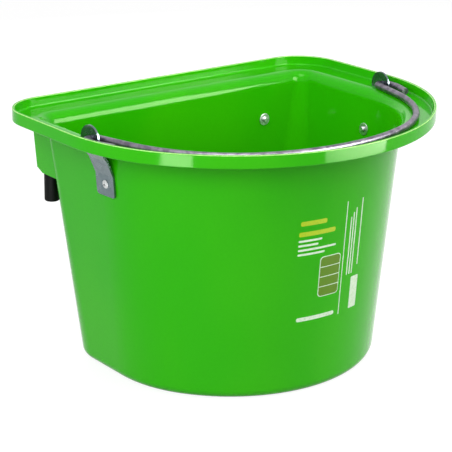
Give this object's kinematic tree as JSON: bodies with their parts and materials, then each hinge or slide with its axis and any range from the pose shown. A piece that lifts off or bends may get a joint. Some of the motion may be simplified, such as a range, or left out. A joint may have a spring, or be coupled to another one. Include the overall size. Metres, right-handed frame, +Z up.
{
  "type": "portable feed trough",
  "caption": "D-shaped plastic feed trough with a raised rim, a wire carrying bail in riveted ears, and swivelling steel hooks at the rear corners for hanging on a board.",
  "frame": {"origin": "on the floor, midway across the trough and midway between the front and the rear of the rim", "axes": "+Z up, -Y towards the bowed front, +Y towards the flat rear, +X to the right seen from the front"},
  "size_m": [0.4, 0.3119, 0.2617],
  "materials": {
    "green_plastic": "glossy injection-moulded polypropylene, bright green",
    "galvanised_wire": "galvanised steel wire, dull grey with a slight mauve tone",
    "galvanised_sheet": "galvanised steel strip, satin with faint mottling",
    "rivet_metal": "bright aluminium, lightly polished",
    "black_cap": "black soft plastic, satin"
  },
  "bodies": {
    "trough": {"trough_body": "green_plastic", "ear_right": "galvanised_sheet", "ear_left": "galvanised_sheet", "ear_rivet_right": "rivet_metal", "ear_rivet_left": "rivet_metal", "ear_washer_right": "rivet_metal", "ear_washer_left": "rivet_metal", "hook_clip_right": "galvanised_sheet", "hook_clip_left": "galvanised_sheet", "clip_rivet_right": "rivet_metal", "clip_rivet_left": "rivet_metal", "clip_washer_right": "rivet_metal", "clip_washer_left": "rivet_metal"},
    "bail": {"bail_handle": "galvanised_wire"},
    "hook_right": {"hook_rod_right": "galvanised_wire", "hook_collar_right": "galvanised_wire", "hook_end_cap_right": "black_cap", "hook_sleeve_right": "black_cap"},
    "hook_left": {"hook_rod_left": "galvanised_wire", "hook_collar_left": "galvanised_wire", "hook_end_cap_left": "black_cap", "hook_sleeve_left": "black_cap"}
  },
  "joints": [
    {"name": "bail_swing", "type": "hinge", "parent": "trough", "child": "bail", "pos_m": [0, 0.0175, 0.2487], "axis": [-1, 0, 0], "range_deg": [0, 175]},
    {"name": "hook_right_swing", "type": "hinge", "parent": "trough", "child": "hook_right", "pos_m": [0.15, 0.134, 0.21], "axis": [0, 0, -1], "range_deg": [0, 120]},
    {"name": "hook_left_swing", "type": "hinge", "parent": "trough", "child": "hook_left", "pos_m": [-0.15, 0.134, 0.21], "axis": [0, 0, 1], "range_deg": [0, 120]}
  ]
}
